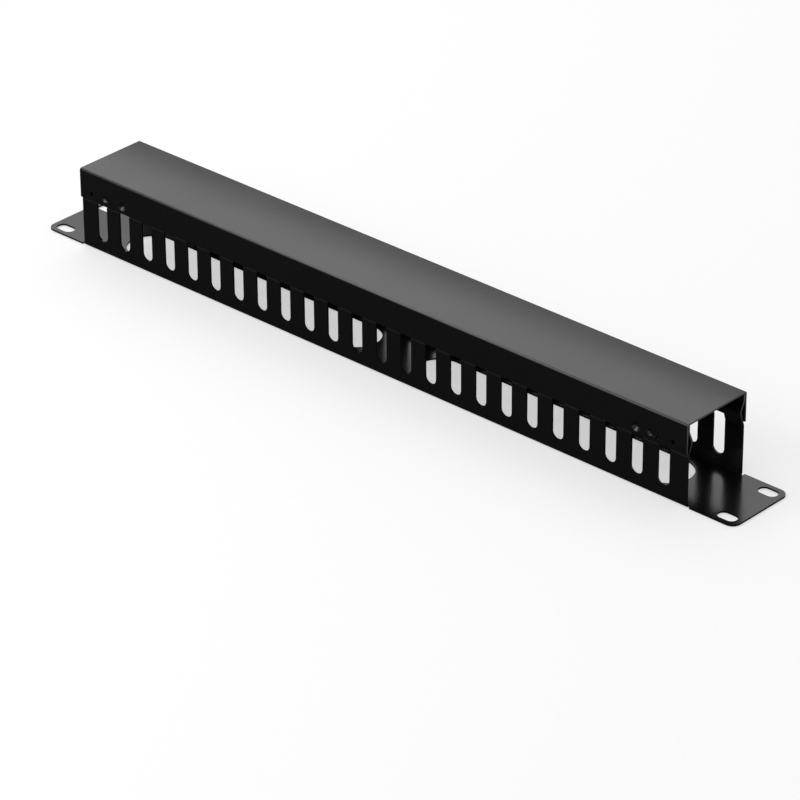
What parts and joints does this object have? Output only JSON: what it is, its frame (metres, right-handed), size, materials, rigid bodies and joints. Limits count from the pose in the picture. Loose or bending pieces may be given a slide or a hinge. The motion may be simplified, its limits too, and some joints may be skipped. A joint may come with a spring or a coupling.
{
  "type": "horizontal cable manager",
  "caption": "One rack unit finger duct of folded black steel with a clip-on cover, for routing cables across the front of a server rack",
  "frame": {"origin": "middle of the rack panel's back face, which is also the bottom centre of the part as it lies on its panel", "axes": "X along the rack width, Y across the rack unit, Z the way the fingers point, away from the rack"},
  "size_m": [0.4826, 0.0462, 0.047],
  "materials": {
    "duct_coat": "satin black powder coat",
    "cover_coat": "satin black powder coat"
  },
  "bodies": {
    "duct": {"finger_duct": "duct_coat"},
    "cover": {"snap_cover": "cover_coat"}
  },
  "joints": [
    {"name": "cover_pull", "type": "slide", "parent": "duct", "child": "cover", "axis": [0, 0, 1], "range_m": [0, 0.04]}
  ]
}
